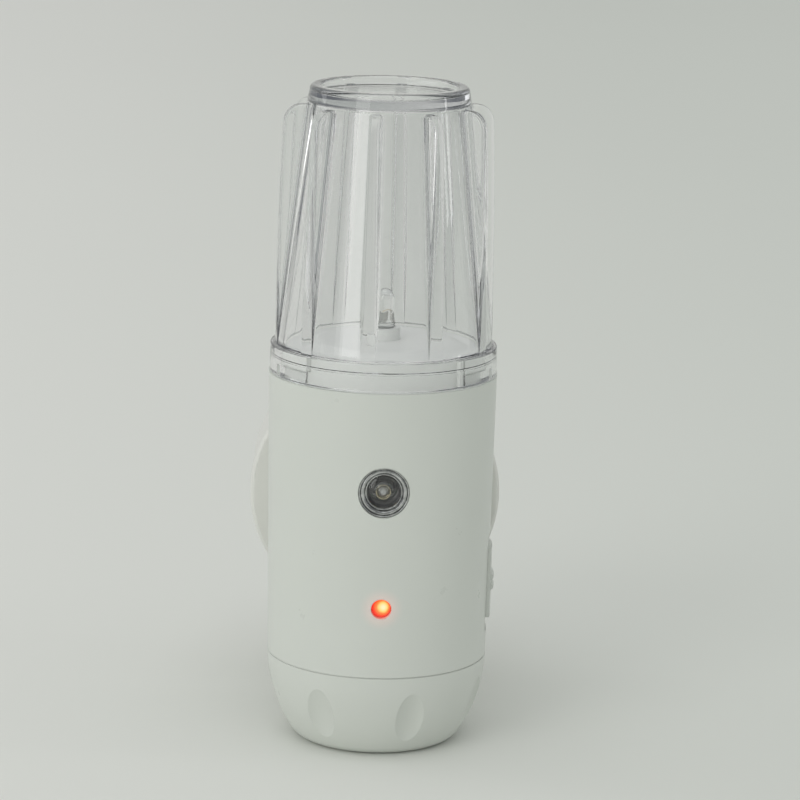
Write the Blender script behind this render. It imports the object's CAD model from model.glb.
"""Plug-in night light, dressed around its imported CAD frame.

+Z is up, the light faces -Y and its pins point along +Y. Places and sizes of shapes are in millimetres, and
mm() and MM turn them into metres. Lengths in materials and lights are in metres.
"""

from math import asin, atan2, cos, pi, radians, sin, sqrt

import bmesh
import bpy
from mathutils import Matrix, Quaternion, Vector


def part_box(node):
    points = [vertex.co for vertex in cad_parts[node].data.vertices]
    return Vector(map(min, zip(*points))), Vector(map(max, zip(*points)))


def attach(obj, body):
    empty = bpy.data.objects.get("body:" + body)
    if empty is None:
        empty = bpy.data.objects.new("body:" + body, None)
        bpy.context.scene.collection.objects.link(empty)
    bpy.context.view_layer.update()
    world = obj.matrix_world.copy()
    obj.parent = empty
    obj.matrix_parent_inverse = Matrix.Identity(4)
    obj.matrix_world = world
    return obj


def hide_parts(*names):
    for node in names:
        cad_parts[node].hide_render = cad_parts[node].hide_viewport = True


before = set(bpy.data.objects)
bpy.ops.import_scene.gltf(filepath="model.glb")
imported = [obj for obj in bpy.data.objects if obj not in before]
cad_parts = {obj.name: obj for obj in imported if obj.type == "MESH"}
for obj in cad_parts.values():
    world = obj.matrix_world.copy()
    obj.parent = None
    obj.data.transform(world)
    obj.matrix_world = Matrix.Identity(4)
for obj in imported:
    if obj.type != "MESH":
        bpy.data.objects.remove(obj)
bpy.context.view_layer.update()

MM = 0.001
AXIS = Vector((0.0, -39.5, 0.0)) * MM  # the upright axis that the body, the dome and the cap share
TAU = 2 * pi
QUARTER = pi / 2


def mm(*values):
    """A point given in millimetres."""
    return Vector(values) * MM


def mix(a, b, t):
    """From a at t = 0 to b at t = 1."""
    return a + (b - a) * t


def steps(a, b, count):
    """count values from a to b, both included."""
    return [mix(a, b, i / (count - 1)) for i in range(count)]


# ---------------------------------------------------------------- camera

CAMERA_PLACE = mm(-17.72965, -538.20558, 128.85118)
CAMERA_AIM = mm(2.56737, -39.5, 19.24558)
CAMERA_ROLL = radians(1.4744)
CAMERA_LENS = 158.326
CAMERA_SENSOR = 36.0


def make_camera():
    """The camera, above the light and a little to the left of its front."""
    data = bpy.data.cameras.new("camera")
    data.lens = CAMERA_LENS
    data.sensor_width = CAMERA_SENSOR
    data.clip_start = 0.01
    data.clip_end = 50.0
    camera = bpy.data.objects.new("camera", data)
    camera.location = CAMERA_PLACE
    camera.rotation_mode = "QUATERNION"
    turn = (CAMERA_AIM - CAMERA_PLACE).to_track_quat("-Z", "Y")
    camera.rotation_quaternion = turn @ Quaternion((0, 0, 1), CAMERA_ROLL)
    bpy.context.scene.collection.objects.link(camera)
    bpy.context.scene.camera = camera


# ---------------------------------------------------------------- node helpers


def add(tree, kind, inputs=None, **props):
    """Adds a node. An input given as a socket is linked, and any other value is set on the socket."""
    n = tree.nodes.new("ShaderNode" + kind)
    for key, value in props.items():
        setattr(n, key, value)
    for key, value in (inputs or {}).items():
        if isinstance(value, bpy.types.NodeSocket):
            tree.links.new(value, n.inputs[key])
        else:
            n.inputs[key].default_value = value
    return n


def new_material(name):
    """A new material and its empty node tree."""
    mat = bpy.data.materials.new(name)
    mat.use_nodes = True
    mat.node_tree.nodes.clear()
    return mat, mat.node_tree


def show(tree, shader, volume=None):
    """Ends the material in this shader, and in this volume if there is one."""
    parts = {"Surface": shader} if volume is None else {"Surface": shader, "Volume": volume}
    add(tree, "OutputMaterial", parts)


def surface(tree, values):
    """Ends the material in one Principled shader with these values."""
    show(tree, add(tree, "BsdfPrincipled", values).outputs[0])


def place(tree, scale=(1, 1, 1), turn=(0, 0, 0)):
    """The surface point in the object's own frame, in metres, stretched and turned."""
    point = add(tree, "TexCoord").outputs["Object"]
    if (scale, turn) == ((1, 1, 1), (0, 0, 0)):
        return point
    return add(tree, "Mapping", {"Vector": point, "Scale": scale, "Rotation": turn}).outputs[0]


def noise(tree, vector, scale, detail=3.0, rough=0.5, distortion=0.0):
    """Noise from 0 to 1, with scale waves to the metre."""
    values = {"Vector": vector, "Scale": scale, "Detail": detail, "Roughness": rough, "Distortion": distortion}
    return add(tree, "TexNoise", values).outputs["Fac"]


def remap(tree, value, low, high, out_low, out_high, smooth=False):
    """value, from low..high to out_low..out_high, held at both ends."""
    kind = "SMOOTHSTEP" if smooth else "LINEAR"
    values = {0: value, 1: low, 2: high, 3: out_low, 4: out_high}
    return add(tree, "MapRange", values, interpolation_type=kind).outputs[0]


def maths(tree, operation, a, b=0.0, c=0.0):
    """The result of one operation on a, b and c."""
    return add(tree, "Math", {0: a, 1: b, 2: c}, operation=operation).outputs[0]


def blend_colour(tree, share, a, b):
    """From colour a at share 0 to colour b at share 1."""
    return add(tree, "Mix", {0: share, 6: a, 7: b}, data_type="RGBA").outputs[2]


def ramp(tree, value, stops, interpolation="LINEAR"):
    """A colour ramp. stops are (position, colour)."""
    n = add(tree, "ValToRGB", {0: value})
    n.color_ramp.interpolation = interpolation
    elements = n.color_ramp.elements
    while len(elements) < len(stops):
        elements.new(1.0)
    for element, (position, colour) in zip(elements, stops):
        element.position = position
        element.color = rgba(colour)
    return n.outputs[0]


def rgba(colour):
    """The colour with its alpha."""
    return (*colour, 1.0)


def toned(colour, factor):
    """The colour made darker or lighter, with its alpha."""
    return rgba([min(1, c * factor) for c in colour])


def bump(tree, height, depth, normal=None):
    """Bump whose height 0..1 stands for depth metres."""
    inputs = {"Height": height, "Distance": depth, "Strength": 1.0}
    if normal is not None:
        inputs["Normal"] = normal
    return add(tree, "Bump", inputs).outputs[0]


def soft_edges(tree, radius):
    """Rounds the look of the edges, as a moulding or a stamping has them."""
    return add(tree, "Bevel", {"Radius": radius}, samples=4).outputs[0]


def distance_to(tree, point):
    """How far the surface point is from a point of the object's frame, in metres."""
    return add(tree, "VectorMath", {0: place(tree), 1: point}, operation="DISTANCE").outputs["Value"]


# ---------------------------------------------------------------- materials


def plastic(name, colour, rough=0.32, tint=0.03, edge=0.00025, wave=0.00001, grain=0.0000012, glow=None):
    """Moulded plastic: cloudy colour, patchy gloss, a long wave from moulding and a fine grain.

    glow is (centre, reach, colour, strength) of the light that a lit lens throws on it from close by.
    """
    mat, tree = new_material(name)
    point = place(tree)
    cloud = noise(tree, point, 70.0, 4.0)
    base = blend_colour(tree, cloud, toned(colour, 1 - tint), toned(colour, 1 + tint))
    specks = noise(tree, point, 5200.0, 1.0)
    dust = remap(tree, specks, 0.76, 0.82, 0.0, 0.35)
    base = blend_colour(tree, dust, base, toned(colour, 0.72))
    patches = noise(tree, point, 240.0, 5.0, 0.6)
    roughness = remap(tree, patches, 0.3, 0.75, rough * 0.85, rough * 1.2)
    long_wave = noise(tree, point, 55.0, 2.0)
    fine = noise(tree, point, 3800.0, 2.0)
    normal = bump(tree, long_wave, wave, soft_edges(tree, edge))
    normal = bump(tree, fine, grain, normal)
    values = {"Base Color": base, "Roughness": roughness, "Normal": normal, "IOR": 1.5}
    if glow is not None:
        centre, reach, tone, strength = glow
        near = remap(tree, distance_to(tree, centre), reach * 0.25, reach, 1.0, 0.0, True)
        values["Emission Color"] = blend_colour(tree, near, (0, 0, 0, 1), rgba(tone))
        values["Emission Strength"] = strength
    surface(tree, values)
    return mat


CLEAR_SHADE = (0.97, 0.975, 0.975)
MURK_TONE = (0.80, 0.803, 0.825)  # what absorption leaves of white, a little bluish


def clear(name, tint, ior, rough, flow=0.000002, shade=CLEAR_SHADE, polish=0.0, murk=0.0):
    """Clear plastic, which bends what is seen through it, while lamps and soft light pass straight through.

    flow is the depth of its moulding streaks, shade the tone that it gives the light that passes, polish
    a hard gloss on top, and murk the absorption for each metre inside, which makes thick edges show grey.
    """
    mat, tree = new_material(name)
    point = place(tree)
    haze = noise(tree, point, 420.0, 4.0, 0.6)
    roughness = remap(tree, haze, 0.35, 0.8, rough * 0.5, rough * 2.2)
    streaks = noise(tree, place(tree, (1, 1, 0.25)), 190.0, 2.0, 0.5, 0.4)
    fine = noise(tree, point, 2600.0, 2.0)
    normal = bump(tree, streaks, flow)
    normal = bump(tree, fine, flow * 0.08, normal)
    film = noise(tree, point, 95.0, 3.0)
    base = blend_colour(tree, film, toned(tint, 0.985), rgba(tint))
    glass = add(
        tree,
        "BsdfPrincipled",
        {
            "Base Color": base,
            "Roughness": roughness,
            "Normal": normal,
            "IOR": ior,
            "Transmission Weight": 1.0,
            "Coat Weight": polish,
            "Coat IOR": 2.2,
            "Coat Roughness": 0.03,
        },
    )
    through = add(tree, "BsdfTransparent", {"Color": rgba(shade)})
    ray = add(tree, "LightPath").outputs
    lit = maths(tree, "MAXIMUM", ray["Is Shadow Ray"], ray["Is Diffuse Ray"])
    both = add(tree, "MixShader", {0: lit, 1: glass.outputs[0], 2: through.outputs[0]}).outputs[0]
    volume = None
    if murk:
        volume = add(tree, "VolumeAbsorption", {"Color": rgba(MURK_TONE), "Density": murk}).outputs[0]
    show(tree, both, volume)
    return mat


def metal(name, colour, rough, stretch=(1, 1, 1), marks=900.0, depth=0.0000015, edge=0.00012):
    """Plated or stamped metal: drawn marks along one way, dull patches and slightly darker stains."""
    mat, tree = new_material(name)
    point = place(tree)
    drawn = noise(tree, place(tree, stretch), marks, 4.0, 0.6)
    patches = noise(tree, point, 330.0, 5.0, 0.65)
    stained = remap(tree, patches, 0.45, 0.8, 0.0, 1.0)
    base = blend_colour(tree, stained, rgba(colour), toned(colour, 0.88))
    wear = maths(tree, "MULTIPLY_ADD", drawn, 0.18, patches)
    roughness = remap(tree, wear, 0.3, 0.95, rough * 0.65, rough * 1.5)
    normal = bump(tree, drawn, depth, soft_edges(tree, edge))
    surface(tree, {"Base Color": base, "Metallic": 1.0, "Roughness": roughness, "Normal": normal})
    return mat


def matte(name, colour, rough, grain_scale=1700.0, depth=0.000006):
    """Matt moulded or lacquered surface with an etched grain, paler on the grain's tips."""
    mat, tree = new_material(name)
    point = place(tree)
    grain = noise(tree, point, grain_scale, 3.0, 0.6)
    cloud = noise(tree, point, 210.0, 4.0)
    tone = blend_colour(tree, cloud, toned(colour, 0.88), toned(colour, 1.12))
    tips = remap(tree, grain, 0.62, 0.78, 0.0, 0.35)
    base = blend_colour(tree, tips, tone, rgba([min(1, c * 1.8 + 0.01) for c in colour]))
    roughness = remap(tree, cloud, 0.3, 0.75, rough * 0.88, min(1.0, rough * 1.15))
    normal = bump(tree, grain, depth, soft_edges(tree, 0.0002))
    surface(tree, {"Base Color": base, "Roughness": roughness, "Normal": normal})
    return mat


# ---------------------------------------------------------------- mesh helpers


CREASE = radians(38)  # an edge that turns less than this is shaded round


def mesh_object(name, points, faces, material, body):
    """A closed mesh in the object's frame, with its normals outward."""
    mesh = bpy.data.meshes.new(name)
    mesh.from_pydata([tuple(p) for p in points], [], faces)
    work = bmesh.new()
    work.from_mesh(mesh)
    bmesh.ops.remove_doubles(work, verts=work.verts, dist=1e-7)
    bmesh.ops.dissolve_degenerate(work, edges=work.edges, dist=1e-8)
    bmesh.ops.recalc_face_normals(work, faces=work.faces)
    for edge in work.edges:
        edge.smooth = len(edge.link_faces) != 2 or edge.calc_face_angle(0.0) < CREASE
    work.to_mesh(mesh)
    work.free()
    mesh.polygons.foreach_set("use_smooth", [True] * len(mesh.polygons))
    mesh.materials.append(material)
    piece = bpy.data.objects.new(name, mesh)
    bpy.context.scene.collection.objects.link(piece)
    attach(piece, body)
    return piece


def rings_to_faces(count, width):
    """Quads between count rings of width points each."""
    faces = []
    for i in range(count - 1):
        for j in range(width):
            k = (j + 1) % width
            faces.append((i * width + j, i * width + k, (i + 1) * width + k, (i + 1) * width + j))
    return faces


def at(radius, angle, z):
    """A point at that radius and angle (from +X) round the upright axis. All in millimetres and radians."""
    return AXIS + mm(radius * cos(angle), radius * sin(angle), z)


def rows(profile, turns):
    """A ring of points round the upright axis for each (radius, height) of the profile."""
    return [[at(r, a, z) for a in turns] for r, z in profile]


def arc(centre_r, centre_z, radius, start, end, count):
    """(radius, height) along an arc, its angles from the level, outward direction."""
    return [(centre_r + radius * cos(a), centre_z + radius * sin(a)) for a in steps(start, end, count)]


# ---------------------------------------------------------------- dome

DOME_LOW, FLANGE_TOP, DOME_TOP, RING_TOP = 23.7, 27.8, 62.8, 65.2
FLANGE_LOW_R, FLANGE_TOP_R, FLANGE_EDGE, FOOT_EDGE = 16.45, 16.38, 0.16, 0.2
FLANGE_SIDE = [(16.44, 25.0), (16.39, 26.6)]  # (radius, height) between which the flange's side leans in
WALL_LOW_R, WALL_TOP_R, WALL_T, WALL_FOOT_R = 15.75, 11.7, 1.5, 0.22
ROOF_Z, RECESS_Z, RECESS_R = 62.7, 64.0, 9.8
RING_LIP_R, RING_EDGE, RECESS_EDGE, ROOF_FILLET = 11.45, 0.7, 0.4, 0.5
RIB_COUNT, RIB_FIRST = 10, radians(-100)
RIB_FOOT_Z, RIB_CORNER_Z, RIB_CORNER_R, RIB_CORNER_X = 26.8, 59.9, 2.6, 12.65
RIB_END_Z = RIB_CORNER_Z + RIB_CORNER_R
RIB_TOP_R, RIB_BULGE = 15.25, 0.24
RIB_LOW_W, RIB_HIGH_W, RIB_W_TOP_Z = 2.2, 1.5, 63.8
RIB_EDGE, RIB_FILLET = 0.42, 0.5
RIB_RINGS, RIB_CORNER_RINGS = 56, 14
FIRST_RIB_RING_Z = FLANGE_TOP + 0.3
BORE_R, BORE_TOP_Z = 15.0, 27.65
LUG_R, LUG_LOW_Z, LUG_HIGH_Z, LUG_HALF = 14.3, 23.85, 25.25, radians(13.5)
LUG_ANGLES = [radians(a - 90) for a in (60, 180, 300)]
GROOVE_Z, GROOVE_D = 26.2, 0.16  # the fine line inside the flange


def wall_r(z):
    """Outer radius of the dome's wall between its ribs at a height."""
    return mix(WALL_LOW_R, WALL_TOP_R, (z - FLANGE_TOP) / (DOME_TOP - FLANGE_TOP))


def rib_r(z):
    """Radius of a rib's outer edge at a height."""
    if z > RIB_CORNER_Z:
        return RIB_CORNER_X + sqrt(max(0.0, RIB_CORNER_R**2 - (z - RIB_CORNER_Z) ** 2))
    t = (z - RIB_FOOT_Z) / (RIB_CORNER_Z - RIB_FOOT_Z)
    return mix(WALL_LOW_R, RIB_TOP_R, t) + RIB_BULGE * 4 * t * (1 - t)


def half_rib(z, shrink):
    """(along, across) points of half a rib's section, from between two ribs to the rib's middle.

    shrink is what the rounded end of the rib takes off its half width.
    """
    inner = wall_r(z)
    height = max(0.0, rib_r(z) - inner)
    outer = inner + height
    half = mix(RIB_LOW_W, RIB_HIGH_W, (z - RIB_FOOT_Z) / (RIB_W_TOP_Z - RIB_FOOT_Z)) / 2 - shrink
    edge, fillet = min(RIB_EDGE, 0.45 * height, half * 0.8), min(RIB_FILLET, 0.45 * height)
    foot_turn = asin((half + fillet) / inner)
    points = []
    for turn in steps(pi / RIB_COUNT, foot_turn, 8)[:-1]:
        points.append((inner * cos(turn), inner * sin(turn)))
    foot = inner * cos(foot_turn)
    for turn in steps(0.0, QUARTER, 6):
        points.append((foot + fillet - fillet * cos(turn), half + fillet - fillet * sin(turn)))
    side_end = max(sqrt(max(0.0, outer**2 - half**2)) - edge, foot + fillet)
    for share in steps(0.0, 1.0, 4)[1:-1]:
        points.append((mix(foot + fillet, side_end, share), half))
    for turn in steps(0.0, QUARTER, 6):
        points.append((side_end + edge * sin(turn), half - edge + edge * cos(turn)))
    for share in (0.5, 0.0):
        across = (half - edge) * share
        points.append((mix(side_end + edge, outer, 1 - share), across))
    return points


def dome_section(z, shrink=0.0):
    """Polar points (radius, angle) of the dome's outside at a height."""
    half = half_rib(z, shrink)
    one = [(x, -y) for x, y in half] + [(x, y) for x, y in reversed(half[:-1])]
    ring = []
    for i in range(RIB_COUNT):
        turn = RIB_FIRST + TAU * i / RIB_COUNT
        for x, y in one[:-1]:
            ring.append((sqrt(x * x + y * y), turn + atan2(y, x)))
    return ring


def flange_profile():
    """From the foot up the flange's side and over its edge to the foot of the wall."""
    profile = arc(FLANGE_LOW_R - FOOT_EDGE, DOME_LOW + FOOT_EDGE, FOOT_EDGE, -QUARTER, 0.0, 6)
    profile += FLANGE_SIDE
    profile += arc(FLANGE_TOP_R - FLANGE_EDGE, FLANGE_TOP - FLANGE_EDGE, FLANGE_EDGE, 0.0, QUARTER, 6)
    profile += arc(WALL_LOW_R + WALL_FOOT_R, FLANGE_TOP + WALL_FOOT_R, WALL_FOOT_R, -QUARTER, -pi, 4)[:-1]
    return profile


def ribbed_rings():
    """The wall with its ribs, ring by ring up to the ribs' rounded upper ends."""
    heights = steps(FIRST_RIB_RING_Z, RIB_CORNER_Z, RIB_RINGS)
    heights += [RIB_CORNER_Z + RIB_CORNER_R * sin(a) for a in steps(0.0, QUARTER, RIB_CORNER_RINGS)[1:]]
    rings = []
    for z in heights:
        into_end = max(0.0, z - (RIB_END_Z - RIB_EDGE))
        shrink = RIB_EDGE - sqrt(max(0.0, RIB_EDGE**2 - into_end**2))
        rings.append([at(r, a, z) for r, a in dome_section(z, shrink)])
    return rings


def ring_profile():
    """Up the wall above the ribs, over the top ring and down into its recess, nearly to its middle."""
    profile = [(wall_r(RIB_END_Z) + 0.12, RIB_END_Z + 0.02), (WALL_TOP_R + 0.02, RIB_END_Z + 0.2)]
    profile += [(WALL_TOP_R, DOME_TOP + 0.2)]
    profile += arc(RING_LIP_R - RING_EDGE, RING_TOP - RING_EDGE, RING_EDGE, 0.0, QUARTER, 9)
    profile += arc(RECESS_R + RECESS_EDGE, RING_TOP - RECESS_EDGE, RECESS_EDGE, QUARTER, pi, 6)
    profile += arc(RECESS_R - RECESS_EDGE, RECESS_Z + RECESS_EDGE, RECESS_EDGE, 0.0, -QUARTER, 6)
    profile += [(r, RECESS_Z) for r in (7.5, 6.0, 4.5, 3.0, 1.5, 0.5)]
    return profile


def room_profile():
    """The inside from near the roof's middle, down the wall and the flange's bore, to above the lugs."""
    top_r, low_r = WALL_TOP_R - WALL_T, WALL_LOW_R - WALL_T
    profile = [(r, ROOF_Z) for r in (0.5, 2.0, 4.0, 6.0, 8.0)]
    profile += arc(top_r - ROOF_FILLET, ROOF_Z - ROOF_FILLET, ROOF_FILLET, QUARTER, 0.0, 8)
    for z in steps(60.0, 28.2, 14):
        profile.append((mix(top_r, low_r, (ROOF_Z - z) / (ROOF_Z - FLANGE_TOP)), z))
    profile += [(low_r, BORE_TOP_Z + 0.15), (low_r + 0.15, BORE_TOP_Z)]
    profile += [(BORE_R - 0.1, BORE_TOP_Z), (BORE_R, BORE_TOP_Z - 0.1)]
    profile += [(BORE_R, GROOVE_Z + 0.2), (BORE_R + GROOVE_D, GROOVE_Z + 0.1)]
    profile += [(BORE_R + GROOVE_D, GROOVE_Z - 0.1), (BORE_R, GROOVE_Z - 0.2)]
    profile += [(BORE_R, LUG_HIGH_Z + 0.02)]
    return profile


def lugged_bore_r(angle):
    """The bore's radius at the height of the lugs."""
    for middle in LUG_ANGLES:
        away = (angle - middle + pi) % TAU - pi
        if abs(away) < LUG_HALF:
            return LUG_R
    return BORE_R


def room_rings(high_turns, low_turns):
    """The inside's rings, from the roof down over the lugs to the foot.

    On the way their columns go over from the high turns to the low ones.
    """
    profile = room_profile()
    last = len(profile) - 1
    rings = []
    for index, (r, z) in enumerate(profile):
        turns = [mix(high, low, index / last) for high, low in zip(high_turns, low_turns)]
        rings.append([at(r, a, z) for a in turns])
    for z in (LUG_HIGH_Z, LUG_LOW_Z):
        rings.append([at(lugged_bore_r(a), a, z) for a in low_turns])
    rings += rows([(BORE_R, LUG_LOW_Z - 0.02), (BORE_R + 0.12, DOME_LOW)], low_turns)
    return rings


def closed_shell(outside, inside, outer_tip, inner_tip):
    """Points and faces of one closed shell.

    Its first outer and last inner ring meet at the foot. Its last outer ring closes on outer_tip, and its
    first inner ring on inner_tip.
    """
    width = len(outside[0])
    inner_start = len(outside) * width
    points = [p for ring in outside + inside for p in ring] + [outer_tip, inner_tip]
    outer_tip_index, inner_tip_index = len(points) - 2, len(points) - 1
    top_ring, foot_ring = inner_start - width, inner_start + (len(inside) - 1) * width
    faces = rings_to_faces(len(outside), width)
    faces += [tuple(i + inner_start for i in face) for face in rings_to_faces(len(inside), width)]
    for j in range(width):
        k = (j + 1) % width
        faces.append((top_ring + j, top_ring + k, outer_tip_index))
        faces.append((inner_start + k, inner_start + j, inner_tip_index))
        faces.append((j, k, foot_ring + k, foot_ring + j))
    return points, faces


def make_dome(material):
    """The clear dome with its flange, ribs, top ring and lugs, as one shell."""
    low_turns = [a for _, a in dome_section(FIRST_RIB_RING_Z)]
    high_turns = [a for _, a in dome_section(DOME_TOP - 0.3)]
    outside = rows(flange_profile(), low_turns) + ribbed_rings() + rows(ring_profile(), high_turns)
    inside = room_rings(high_turns, low_turns)
    points, faces = closed_shell(outside, inside, at(0, 0, RECESS_Z), at(0, 0, ROOF_Z))
    piece = mesh_object("dome_shell", points, faces, material, "dome")
    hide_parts("dome")


# ---------------------------------------------------------------- metal inside the lamp

LEAD_W, LEAD_X = 0.45, 1.27
LAMP_FOOT_Z, LAMP_BOARD_Z = 30.1, 26.4
LAMP_FRAME_H = 2.45
STAMPED_EDGE = 0.05


def in_lamp(x, y, z):
    """A point of the lamp's own frame, with z up from its foot."""
    return AXIS + mm(x, y, LAMP_FOOT_Z + z)


def extruded(name, outlines, thickness, material, body):
    """Flat outlines of (x, z) points in the lamp's frame, made thick along y, with softened edges."""
    points, faces = [], []
    for outline in outlines:
        first, count = len(points), len(outline)
        for y in (-thickness / 2, thickness / 2):
            points += [in_lamp(x, y, z) for x, z in outline]
        faces.append(tuple(range(first, first + count)))
        faces.append(tuple(range(first + 2 * count - 1, first + count - 1, -1)))
        for j in range(count):
            k = (j + 1) % count
            faces.append((first + j, first + k, first + count + k, first + count + j))
    piece = mesh_object(name, points, faces, material, body)
    rounding = piece.modifiers.new("edges", "BEVEL")
    rounding.width = STAMPED_EDGE * MM
    rounding.segments = 2
    rounding.limit_method = "ANGLE"
    return piece


def frame_outlines(lead_len, height):
    """The stamped post and anvil of a lamp, with their legs. Local z is 0 at the lamp's foot."""
    w, x = LEAD_W / 2, LEAD_X
    anvil = [(-x - w, -lead_len), (-x + w, -lead_len), (-x + w, 0.5), (0.1, 0.75), (0.3, 1.15)]
    anvil += [(0.34, height), (0.22, height), (-0.04, height - 0.34), (-0.36, height - 0.34), (-0.62, height)]
    anvil += [(-0.78, height), (-0.95, height * 0.62), (-x - w, height * 0.45)]
    post = [(x - w, -lead_len), (x + w, -lead_len), (x + w, height * 0.5), (0.98, height * 0.78)]
    post += [(0.72, height + 0.05), (0.56, height + 0.05), (0.56, 1.25), (0.74, 0.85), (x - w, 0.55)]
    return [anvil, post]


def bond_wire(name, a, b, rise, radius, material, body):
    """A hair-thin wire in an arch from a to b, two points of the lamp's frame."""
    curve = bpy.data.curves.new(name, "CURVE")
    curve.dimensions = "3D"
    curve.bevel_depth = radius * MM
    curve.bevel_resolution = 2
    curve.use_fill_caps = True
    spline = curve.splines.new("POLY")
    places = steps(0.0, 1.0, 9)
    spline.points.add(len(places) - 1)
    for point, t in zip(spline.points, places):
        x, y, z = (mix(p, q, t) for p, q in zip(a, b))
        point.co = (*in_lamp(x, y, z + rise * 4 * t * (1 - t)), 1.0)
    curve.materials.append(material)
    piece = bpy.data.objects.new(name, curve)
    bpy.context.scene.collection.objects.link(piece)
    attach(piece, body)


def make_lamp_inside():
    """The two stamped halves of the lamp's frame, on their legs, and the gold wire between them."""
    stamped = metal("lamp_frame", (0.60, 0.60, 0.58), 0.26, (4, 4, 0.5), 1800.0, 0.000002, 0.00004)
    gold = metal("bond_gold", (0.83, 0.60, 0.24), 0.2, (1, 1, 1), 3000.0, 0.0000002, 0.00001)
    outlines = frame_outlines(LAMP_FOOT_Z - LAMP_BOARD_Z, LAMP_FRAME_H)
    lamp = extruded("lamp_frame", outlines, LEAD_W, stamped, "housing")
    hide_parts("lamp_led_leads")
    bond_wire("lamp_bond", (-0.2, 0, 2.2), (0.64, 0, 2.5), 0.25, 0.03, gold, "housing")


# ---------------------------------------------------------------- light sensor and its window

SENSOR_Z = 9.25
SENSOR_SIDES = 96
PANE_R, PANE_CURVE_R, PANE_FRONT, PANE_BACK = 2.40, 4.7, 15.66, 14.66
WINDOW_R, SKIRT_R, SKIRT_LIP_R, SKIRT_EDGE = 3.6, 2.7, 4.1, 0.05
SKIRT_BACK, SKIRT_LIP_FRONT = 12.95, 13.75
# The rim's three rounded rings: middle radius, distance in front of the upright axis, and roundness.
WINDOW_LIPS = [(2.56, 15.38, 0.12), (3.06, 15.58, 0.30), (3.49, 15.82, 0.11)]
LENS_TIP, LENS_R = 14.358, 1.4
CUP_DROP = 0.42  # the cup and its chip sit this far below the lens's middle


def turned(name, profile, material, drop=0.0):
    """A solid turned about the sensor's line of sight, or about a line that far below it.

    The profile is (radius, distance in front of the upright axis).
    """
    turns = steps(0.0, TAU, SENSOR_SIDES + 1)[:-1]
    rings = []
    for r, front in profile:
        rings.append([AXIS + mm(r * cos(a), -front, SENSOR_Z - drop + r * sin(a)) for a in turns])
    if profile[0][0] > 0:
        rings.append(rings[0])
    points = [p for ring in rings for p in ring]
    return mesh_object(name, points, rings_to_faces(len(rings), SENSOR_SIDES), material, "housing")


def make_window(pane, rim):
    """The window: a domed pane in a rim of three rounded rings, on the skirt that holds it in the shell."""
    profile = []
    for r in steps(0.0, PANE_R, 12):
        profile.append((r, PANE_FRONT - PANE_CURVE_R + sqrt(PANE_CURVE_R**2 - r * r)))
    for centre_r, centre_front, roundness in WINDOW_LIPS:
        profile += arc(centre_r, centre_front, roundness, pi, 0.0, 13)
    profile += [(WINDOW_R, SKIRT_LIP_FRONT), (SKIRT_LIP_R - SKIRT_EDGE, SKIRT_LIP_FRONT)]
    profile += [(SKIRT_LIP_R, SKIRT_LIP_FRONT - SKIRT_EDGE), (SKIRT_LIP_R, SKIRT_BACK + SKIRT_EDGE)]
    profile += [(SKIRT_LIP_R - SKIRT_EDGE, SKIRT_BACK), (SKIRT_R + SKIRT_EDGE, SKIRT_BACK)]
    profile += [(SKIRT_R, SKIRT_BACK + SKIRT_EDGE), (SKIRT_R, PANE_BACK - 0.1), (SKIRT_R - 0.1, PANE_BACK)]
    profile += [(1.2, PANE_BACK), (0.0, PANE_BACK)]
    piece = turned("window_pane", profile, pane)
    piece.data.materials.append(rim)
    for face in piece.data.polygons:
        away = face.center - AXIS - mm(0, 0, SENSOR_Z)
        beside_pane = sqrt(away.x**2 + away.z**2) > (PANE_R + 0.01) * MM
        if beside_pane and -away.y > (PANE_BACK + 0.4) * MM:
            face.material_index = 1
    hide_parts("sensor_window")


def make_sensor_inside(black):
    """The gilt cup and the chip that show inside the sensor's lens, and the black spacer round the lens."""
    gilt = metal("cup_gilt", (0.62, 0.55, 0.36), 0.3, (1, 1, 1), 2400.0, 0.000001, 0.00003)
    grey = matte("die_grey", (0.56, 0.56, 0.55), 0.18, 2600.0, 0.000001)
    cup_low = LENS_TIP - 1.5
    cup = [(0.0, cup_low - 0.25), (0.5, cup_low - 0.25), (0.86, cup_low + 0.5), (0.86, cup_low + 0.6)]
    cup += [(0.76, cup_low + 0.62), (0.45, cup_low), (0.0, cup_low)]
    turned("sensor_cup", cup, gilt, CUP_DROP)
    die = [(0.0, cup_low - 0.05), (0.42, cup_low - 0.05), (0.40, cup_low + 0.6)]
    die += [(0.33, cup_low + 0.76), (0.18, cup_low + 0.84), (0.0, cup_low + 0.86)]
    turned("sensor_die", die, grey, CUP_DROP)
    spacer_front, spacer_back = LENS_TIP - 1.3, LENS_TIP - 3.3
    spacer = arc(LENS_R + 0.35, spacer_front - 0.25, 0.25, pi, QUARTER, 6)
    spacer += arc(2.42, spacer_front - 0.2, 0.2, QUARTER, 0.0, 6)
    spacer += [(2.62, spacer_back), (LENS_R + 0.1, spacer_back)]
    turned("sensor_spacer", spacer, black)


# ---------------------------------------------------------------- joint between body and cap

CAP_SEAM_Z, CAP_SEAM_GAP, CAP_R = -18.1, 0.1, 16.03
BEAD_W, BEAD_SIDES = 0.9, 192


def make_cap_bead(material):
    """The low bead on the cap's upper edge, which all but closes the joint with the body."""
    low, high = CAP_SEAM_Z - CAP_SEAM_GAP - 0.05, CAP_SEAM_Z - 0.02
    outline = [(CAP_R - BEAD_W, low), (CAP_R - 0.06, low), (CAP_R - 0.05, high - 0.02)]
    outline += [(CAP_R - 0.08, high), (CAP_R - BEAD_W, high)]
    rings = rows(outline + outline[:1], steps(0.0, TAU, BEAD_SIDES + 1)[:-1])
    points = [p for ring in rings for p in ring]
    mesh_object("cap_bead", points, rings_to_faces(len(rings), BEAD_SIDES), material, "cap")


# ---------------------------------------------------------------- lights and ground

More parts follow.
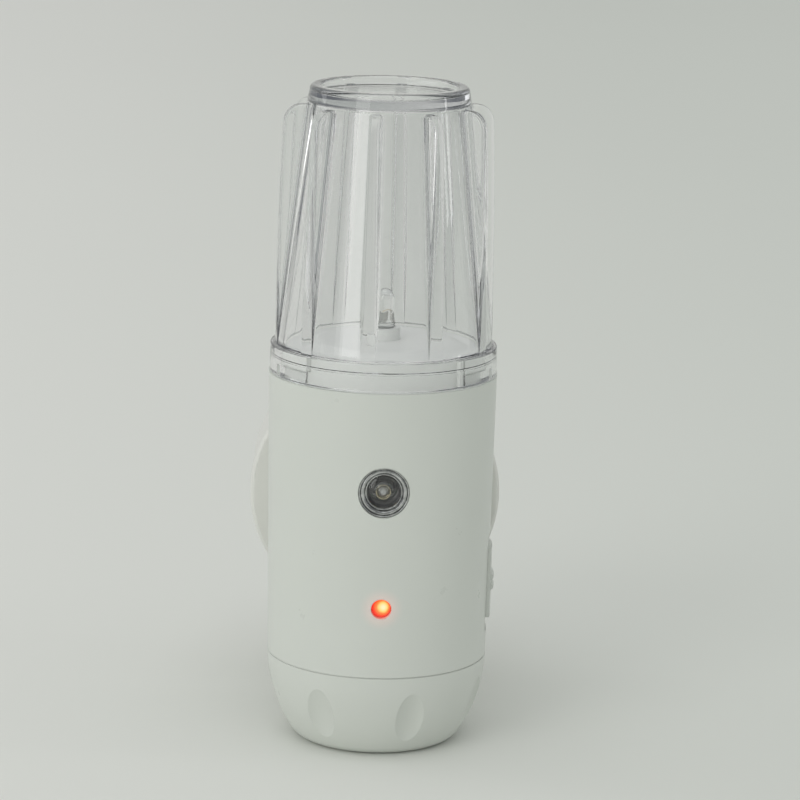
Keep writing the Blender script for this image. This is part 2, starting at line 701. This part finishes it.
FLOOR_Z = -30.9
FLOOR_R = 6.0  # metres
FLOOR_LEFT, FLOOR_RIGHT = (0.80, 0.805, 0.770), (0.690, 0.715, 0.670)
PALE = (0.612, 0.618, 0.590)
ROOM_DARK = (0.125, 0.135, 0.15)
AMBIENT_TONE, AMBIENT = (0.985, 1.0, 0.99), 0.58
WARM = (1.0, 0.995, 0.98)


def softbox(name, azimuth, elevation, distance, width, height, power, colour=(1, 1, 1)):
    """A rectangular lamp that looks at the object, with its distance and sides in metres.

    Azimuth is from the front, positive towards +X.
    """
    data = bpy.data.lights.new(name, "AREA")
    data.shape = "RECTANGLE"
    data.size, data.size_y = width, height
    data.energy = power
    data.color = colour
    lamp = bpy.data.objects.new(name, data)
    aim = AXIS + mm(0, 0, 15)
    a, e = radians(azimuth), radians(elevation)
    way = Vector((sin(a) * cos(e), -cos(a) * cos(e), sin(e)))
    lamp.location = aim + way * distance
    lamp.rotation_mode = "QUATERNION"
    lamp.rotation_quaternion = (-way).to_track_quat("-Z", "Y")
    bpy.context.scene.collection.objects.link(lamp)
    return lamp


def floor_finish():
    """Matt pale sheet, a little darker towards the right."""
    mat, tree = new_material("floor_pale")
    point = place(tree)
    cloud = noise(tree, point, 2.2, 3.0)
    grain = noise(tree, point, 900.0, 3.0, 0.6)
    across = add(tree, "SeparateXYZ", {0: point}).outputs["X"]
    to_right = remap(tree, across, -0.16, 0.14, 0.0, 1.0, True)
    sheet = blend_colour(tree, to_right, rgba(FLOOR_LEFT), rgba(FLOOR_RIGHT))
    base = blend_colour(tree, remap(tree, cloud, 0.3, 0.7, 0.0, 0.04), sheet, (0.5, 0.5, 0.48, 1.0))
    normal = bump(tree, grain, 0.00002)
    surface(tree, {"Base Color": base, "Roughness": 0.7, "Normal": normal, "Specular IOR Level": 0.2})
    return mat


def make_floor():
    """The plain round floor under the cap."""
    mesh = bpy.data.meshes.new("floor")
    work = bmesh.new()
    bmesh.ops.create_circle(work, cap_ends=True, segments=96, radius=FLOOR_R)
    work.to_mesh(mesh)
    work.free()
    mesh.materials.append(floor_finish())
    floor = bpy.data.objects.new("floor", mesh)
    floor.location = AXIS + mm(0, 0, FLOOR_Z)
    bpy.context.scene.collection.objects.link(floor)


def make_world():
    """Soft light from all round, a plain backdrop for the camera, and a room for gloss and glass."""
    world = bpy.data.worlds.new("world")
    bpy.context.scene.world = world
    world.use_nodes = True
    tree = world.node_tree
    tree.nodes.clear()
    way = add(tree, "SeparateXYZ", {0: add(tree, "TexCoord").outputs["Generated"]}).outputs
    ray = add(tree, "LightPath").outputs
    # Gloss and glass see a pale room that darkens to both sides and in front.
    right = maths(tree, "MULTIPLY", remap(tree, way["X"], 0.1, 0.6, 0.0, 1.0, True), 0.92)
    left = maths(tree, "MULTIPLY", remap(tree, way["X"], -0.2, -0.65, 0.0, 1.0, True), 0.86)
    front = maths(tree, "MULTIPLY", remap(tree, way["Y"], -0.25, -0.85, 0.0, 1.0, True), 0.65)
    dark = maths(tree, "MAXIMUM", maths(tree, "MAXIMUM", right, left), front)
    room = blend_colour(tree, dark, rgba(PALE), rgba(ROOM_DARK))
    shown = blend_colour(tree, ray["Is Camera Ray"], room, rgba(PALE))
    seen = maths(tree, "MAXIMUM", ray["Is Camera Ray"], ray["Is Glossy Ray"])
    seen = maths(tree, "MAXIMUM", seen, ray["Is Transmission Ray"])
    soft = add(tree, "Background", {"Color": rgba(AMBIENT_TONE), "Strength": AMBIENT})
    backdrop = add(tree, "Background", {"Color": shown, "Strength": 1.0})
    both = add(tree, "MixShader", {0: seen, 1: soft.outputs[0], 2: backdrop.outputs[0]})
    add(tree, "OutputWorld", {"Surface": both.outputs[0]})


def make_lights():
    """The key from the front left with its soft wrap, a weak light on each side, and a broad one above."""
    softbox("key", -40.0, 15.0, 2.2, 0.75, 1.7, 5.6, WARM)
    wrap = softbox("wrap", -42.0, 15.0, 2.2, 1.35, 1.75, 8.2, WARM)
    wrap.visible_glossy = False  # it only softens the key's shading
    softbox("side", -112.0, 18.0, 1.6, 0.5, 0.9, 1.8)
    softbox("edge", 84.0, 18.0, 1.5, 0.10, 0.9, 1.0)
    softbox("top", -20.0, 78.0, 3.0, 3.0, 3.0, 18.0)


# ---------------------------------------------------------------- the finishes of the CAD nodes

WHITE = (0.640, 0.667, 0.623)
WIRE_RED = (0.50, 0.03, 0.025)
BAND_BROWN, BAND_BLACK, BAND_ORANGE = (0.30, 0.10, 0.03), (0.02, 0.02, 0.02), (0.50, 0.20, 0.02)
BAND_RED, BAND_GOLD = (0.45, 0.03, 0.02), (0.55, 0.38, 0.10)
BAND_W = 0.07  # share of the length over which the bands repeat
INDICATOR_Z = -7.8
INDICATOR_TIP = AXIS + mm(0, -16.15, INDICATOR_Z)
INDICATOR_HOT = AXIS + mm(0.28, -16.0, INDICATOR_Z + 0.32)


def lit_lens(name):
    """The charge lamp's red lens, lit from inside, with its hot spot near the tip."""
    mat, tree = new_material(name)
    share = remap(tree, distance_to(tree, INDICATOR_HOT), 0.0002, 0.0017, 0.0, 1.0)
    wobble = noise(tree, place(tree), 1500.0, 2.0)
    share = maths(tree, "ADD", share, maths(tree, "MULTIPLY_ADD", wobble, 0.12, -0.06))
    tone = ramp(
        tree,
        share,
        [
            (0.0, (1.0, 0.93, 0.55)),
            (0.28, (1.0, 0.72, 0.20)),
            (0.5, (1.0, 0.24, 0.05)),
            (0.8, (0.86, 0.07, 0.03)),
            (1.0, (0.62, 0.03, 0.02)),
        ],
    )
    values = {
        "Base Color": (0.45, 0.03, 0.015, 1.0),
        "Roughness": remap(tree, wobble, 0.3, 0.7, 0.1, 0.2),
        "Emission Color": tone,
        "Emission Strength": 0.95,
        "Normal": bump(tree, wobble, 0.000004),
    }
    surface(tree, values)
    return mat


def mirror_streaks(name, dark, light):
    """Clear plastic whose moulded back throws the light back: it shines like metal, in streaks."""
    mat, tree = new_material(name)
    point = place(tree)
    broad = noise(tree, place(tree, (1, 0.2, 1)), 620.0, 3.0, 0.6, 0.6)
    fine = noise(tree, place(tree, (1, 0.2, 1)), 2600.0, 2.0)
    share = remap(tree, maths(tree, "MULTIPLY_ADD", fine, 0.35, broad), 0.45, 0.9, 0.0, 1.0)
    base = blend_colour(tree, share, rgba(dark), rgba(light))
    rough = remap(tree, noise(tree, point, 900.0, 2.0), 0.3, 0.7, 0.05, 0.12)
    normal = bump(tree, broad, 0.00002)
    surface(tree, {"Base Color": base, "Metallic": 0.9, "Roughness": rough, "Normal": normal})
    return mat


def board_finish(name, axes):
    """Solder mask over glass weave, with copper tracks showing paler under it.

    axes turns the pattern onto the board.
    """
    mat, tree = new_material(name)
    flat = place(tree, (1, 1, 1), axes)
    weave = noise(tree, flat, 2400.0, 2.0)
    tracks = add(
        tree,
        "TexBrick",
        {
            "Vector": flat,
            "Color1": (0.03, 0.19, 0.075, 1.0),
            "Color2": (0.045, 0.24, 0.10, 1.0),
            "Mortar": (0.018, 0.10, 0.045, 1.0),
            "Scale": 240.0,
            "Mortar Size": 0.035,
            "Brick Width": 1.3,
            "Row Height": 0.42,
        },
    )
    fibre = maths(tree, "MULTIPLY", weave, 0.2)
    base = blend_colour(tree, fibre, tracks.outputs["Color"], (0.10, 0.30, 0.15, 1.0))
    normal = bump(tree, tracks.outputs["Fac"], 0.00003, soft_edges(tree, 0.00015))
    normal = bump(tree, weave, 0.000006, normal)
    rough = remap(tree, weave, 0.3, 0.7, 0.3, 0.45)
    surface(tree, {"Base Color": base, "Roughness": rough, "Normal": normal})
    return mat


def sleeved(name, colour, stripe, stripe_share, low_z, high_z, metal_tone, centre):
    """A shrink sleeve round an upright metal can, with a pale stripe down its front.

    The metal is bare below low_z and above high_z. Heights and centre are in metres.
    """
    mat, tree = new_material(name)
    point = place(tree)
    parts = add(tree, "SeparateXYZ", {0: point}).outputs
    cloud = noise(tree, point, 300.0, 4.0)
    crinkle = noise(tree, place(tree, (1, 1, 0.3)), 900.0, 3.0)
    across = maths(tree, "SUBTRACT", parts["X"], centre[0])
    back = maths(tree, "SUBTRACT", parts["Y"], centre[1])
    around = maths(tree, "ABSOLUTE", maths(tree, "ARCTAN2", across, back))
    stripe_edge = pi * (1 - stripe_share)
    in_stripe = remap(tree, around, stripe_edge, stripe_edge + 0.04, 0.0, 1.0)
    sleeve = blend_colour(tree, cloud, toned(colour, 0.85), toned(colour, 1.15))
    sleeve = blend_colour(tree, in_stripe, sleeve, rgba(stripe))
    above = remap(tree, parts["Z"], high_z - 0.0001, high_z, 0.0, 1.0)
    below = remap(tree, parts["Z"], low_z, low_z + 0.0001, 1.0, 0.0)
    bare = maths(tree, "MAXIMUM", above, below)
    base = blend_colour(tree, bare, sleeve, rgba(metal_tone))
    rough = remap(tree, cloud, 0.3, 0.7, 0.25, 0.4)
    normal = bump(tree, crinkle, 0.00003, soft_edges(tree, 0.0003))
    surface(tree, {"Base Color": base, "Metallic": bare, "Roughness": rough, "Normal": normal})
    return mat


def banded(name, body_colour, bands, period, start):
    """Lacquered resistor bodies with colour bands across X.

    bands are (share of the period, colour), and the first period starts at start, in metres.
    """
    mat, tree = new_material(name)
    point = place(tree)
    along = add(tree, "SeparateXYZ", {0: point}).outputs["X"]
    share = maths(tree, "FRACT", maths(tree, "DIVIDE", maths(tree, "SUBTRACT", along, start), period))
    stops = [(0.0, body_colour)]
    for position, colour in bands:
        stops += [(position, colour), (position + BAND_W, body_colour)]
    tone = ramp(tree, share, stops, "CONSTANT")
    cloud = noise(tree, point, 700.0, 3.0)
    base = blend_colour(tree, maths(tree, "MULTIPLY", cloud, 0.25), tone, toned(body_colour, 0.8))
    rough = remap(tree, cloud, 0.3, 0.7, 0.32, 0.5)
    normal = bump(tree, cloud, 0.00002, soft_edges(tree, 0.0002))
    surface(tree, {"Base Color": base, "Roughness": rough, "Normal": normal})
    return mat


def casing_finishes():
    """The white mouldings. The charge lamp's light falls on the front shell round its hole."""
    shell = plastic("shell_white", WHITE)
    lamp_glow = (INDICATOR_TIP, 0.0034, (0.9, 0.16, 0.10), 0.16)
    return {
        "front_shell": plastic("shell_white_front", WHITE, glow=lamp_glow),
        "rear_shell": shell,
        "battery_cap": shell,
        "slide_button": plastic("button_white", [c * 1.01 for c in WHITE], 0.36),
        "plug_base": plastic("plug_white", (0.72, 0.725, 0.685), 0.38, 0.035, 0.0003, 0.00002, 0.000003),
        "lamp_platform": plastic("platform_white", (0.76, 0.77, 0.745), 0.34, 0.02, 0.0003),
    }


def lens_finishes():
    """The clear and lit lenses, and the dark tube behind the window."""
    return {
        "lamp_led": clear("epoxy_clear", (0.985, 0.99, 0.985), 1.54, 0.01, polish=0.5),
        "light_sensor": clear("sensor_epoxy", (0.97, 0.975, 0.965), 1.54, 0.02, polish=1.0),
        "sensor_window": clear(
            "window_clear", (0.95, 0.955, 0.95), 1.5, 0.03, shade=(0.94, 0.945, 0.945), polish=0.08
        ),
        "sensor_shroud": matte("shroud_black", (0.035, 0.034, 0.036), 0.42, 1500.0, 0.000004),
        "indicator_led": lit_lens("indicator_lit"),
    }


def metal_finishes():
    """Pins, screws, leads, contacts, springs and the switch's frame."""
    pins = metal("pin_nickel", (0.72, 0.70, 0.655), 0.2, (0.25, 3.0, 0.25), 1300.0, 0.0000022, 0.0002)
    steel = metal("steel_plated", (0.62, 0.62, 0.60), 0.32, marks=2200.0)
    tinned = metal("tinned_lead", (0.70, 0.70, 0.69), 0.3, (3, 3, 0.4), 1400.0)
    nickel = metal("nickel_spring", (0.66, 0.64, 0.59), 0.22, marks=1500.0)
    return {
        "pin_left": pins,
        "pin_right": pins,
        "pin_tabs": metal("brass_stamped", (0.66, 0.50, 0.22), 0.3, (1, 1, 4), 1200.0),
        "base_screws": steel,
        "shell_screws": steel,
        "board_screws": steel,
        "lamp_led_leads": tinned,
        "light_sensor_leads": tinned,
        "indicator_leads": tinned,
        "holder_contacts": nickel,
        "cap_contact": nickel,
        "cap_springs": metal("spring_wire", (0.64, 0.63, 0.60), 0.2, marks=2600.0),
        "switch_body": metal("switch_frame", (0.64, 0.64, 0.63), 0.34, (1, 1, 6), 900.0),
    }


def board_finishes():
    """The boards with their wires and parts, and the black mouldings."""
    black = matte("moulded_black", (0.028, 0.028, 0.031), 0.5)
    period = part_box("resistors")[1].x  # the bands repeat to the left and to the right of the middle
    tan_bands = [(0.14, BAND_BROWN), (0.28, BAND_BLACK), (0.42, BAND_ORANGE), (0.78, BAND_GOLD)]
    blue_bands = [(0.2, BAND_BROWN), (0.34, BAND_BLACK), (0.48, BAND_RED), (0.75, BAND_GOLD)]
    return {
        "main_board": board_finish("board_main", (QUARTER, 0, 0)),
        "lamp_board": board_finish("board_lamp", (0, 0, 0)),
        "lamp_wires": matte("wire_red", WIRE_RED, 0.4, 2400.0, 0.000003),
        "battery_wires": matte("wire_red_battery", WIRE_RED, 0.4, 2400.0, 0.000003),
        "mains_wires": matte("wire_brown", (0.21, 0.10, 0.05), 0.42, 2400.0, 0.000003),
        "film_capacitor": plastic("capacitor_red", (0.42, 0.05, 0.03), 0.26, 0.12, 0.0006, 0.00003),
        "resistors": banded("resistor_tan", (0.62, 0.47, 0.29), tan_bands, period, -period),
        "fuse_resistor": banded("resistor_blue", (0.26, 0.42, 0.55), blue_bands, period, -period),
        "bridge_rectifier": black,
        "control_chip": black,
        "transistors": black,
        "switch_lever": black,
        "battery_holder": matte("holder_black", (0.045, 0.045, 0.05), 0.5),
    }


def can_finishes():
    """The filter capacitor and the cells, in their shrink sleeves."""
    can_low, can_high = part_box("filter_capacitor")
    cell_low, cell_high = (corner.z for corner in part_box("battery_cells"))
    return {
        "filter_capacitor": sleeved(
            "capacitor_blue",
            colour=(0.03, 0.05, 0.20),
            stripe=(0.55, 0.58, 0.62),
            stripe_share=0.13,
            low_z=can_low.z + 0.0002,
            high_z=can_high.z - 0.0003,
            metal_tone=(0.75, 0.75, 0.74),
            centre=(can_low + can_high) / 2,
        ),
        "battery_cells": sleeved(
            "cell_green",
            colour=(0.06, 0.33, 0.13),
            stripe=(0.62, 0.66, 0.60),
            stripe_share=0.08,
            low_z=cell_low + 0.0012,
            high_z=cell_high - 0.0012,
            metal_tone=(0.70, 0.69, 0.66),
            centre=(0.0, AXIS.y, 0.0),
        ),
    }


def dress(nodes):
    """Gives every CAD node its finish."""
    groups = (casing_finishes(), lens_finishes(), metal_finishes(), board_finishes(), can_finishes())
    for name, mat in [pair for group in groups for pair in group.items()]:
        node = nodes[name]
        if not node.material_slots:
            node.data.materials.append(mat)
        for slot in node.material_slots:
            slot.material = mat


def finish_on(nodes, name):
    """The finish that a CAD node was given."""
    return nodes[name].material_slots[0].material


# ---------------------------------------------------------------- everything together


def set_paths():
    """Enough bounces for light that runs round inside the clear plastic, and the plain view."""
    cycles = bpy.context.scene.cycles
    cycles.max_bounces = 24
    cycles.transmission_bounces = 20
    cycles.glossy_bounces = 12
    cycles.transparent_max_bounces = 16
    bpy.context.scene.view_settings.view_transform = "Standard"


def main():
    """Lights, camera and floor, the CAD nodes' finishes, and the pieces added to them."""
    set_paths()
    make_camera()
    make_world()
    make_lights()
    make_floor()
    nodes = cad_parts
    dress(nodes)
    make_dome(clear("dome_clear", (0.997, 0.999, 0.999), 1.54, 0.004, 0.0000002, murk=72.0))
    make_lamp_inside()
    rim = mirror_streaks("window_rim", (0.20, 0.205, 0.21), (0.72, 0.73, 0.72))
    make_window(finish_on(nodes, "sensor_window"), rim)
    make_sensor_inside(finish_on(nodes, "sensor_shroud"))
    make_cap_bead(finish_on(nodes, "battery_cap"))


main()
